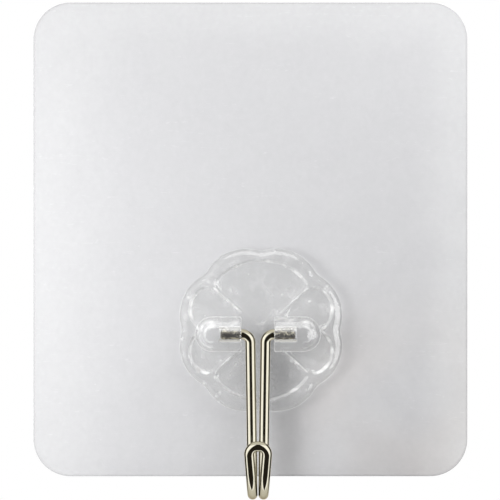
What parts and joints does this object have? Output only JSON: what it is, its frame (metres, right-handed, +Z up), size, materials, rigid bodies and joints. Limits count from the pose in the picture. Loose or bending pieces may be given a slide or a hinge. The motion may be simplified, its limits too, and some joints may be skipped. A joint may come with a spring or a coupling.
{
  "type": "adhesive wall hook",
  "caption": "Clear self-adhesive wall hook: a clear sheet with a flower-shaped moulding whose bosses carry a swinging bent-wire hook for hanging light things.",
  "frame": {"origin": "middle of the adhesive's back face, which lies on the wall", "axes": "+Z up along the wall, +Y into the wall, +X to the right as seen by someone who faces the hook"},
  "size_m": [0.07, 0.0157, 0.0794],
  "materials": {
    "nickel_wire": "bright nickel plating on drawn steel wire",
    "clear_moulding": "glossy clear moulded plastic",
    "clear_film": "slightly hazy clear film",
    "clear_glue": "clear soft adhesive"
  },
  "bodies": {
    "wall_plate": {"hook_base": "clear_moulding", "base_bond": "clear_glue", "carrier_sheet": "clear_film", "adhesive_layer": "clear_glue"},
    "hook": {"wire_hook": "nickel_wire"}
  },
  "joints": [
    {"name": "hook_swing", "type": "hinge", "parent": "wall_plate", "child": "hook", "pos_m": [0.0012, -0.0044, -0.0152], "axis": [-1, 0, 0], "range_deg": [0, 153]}
  ]
}
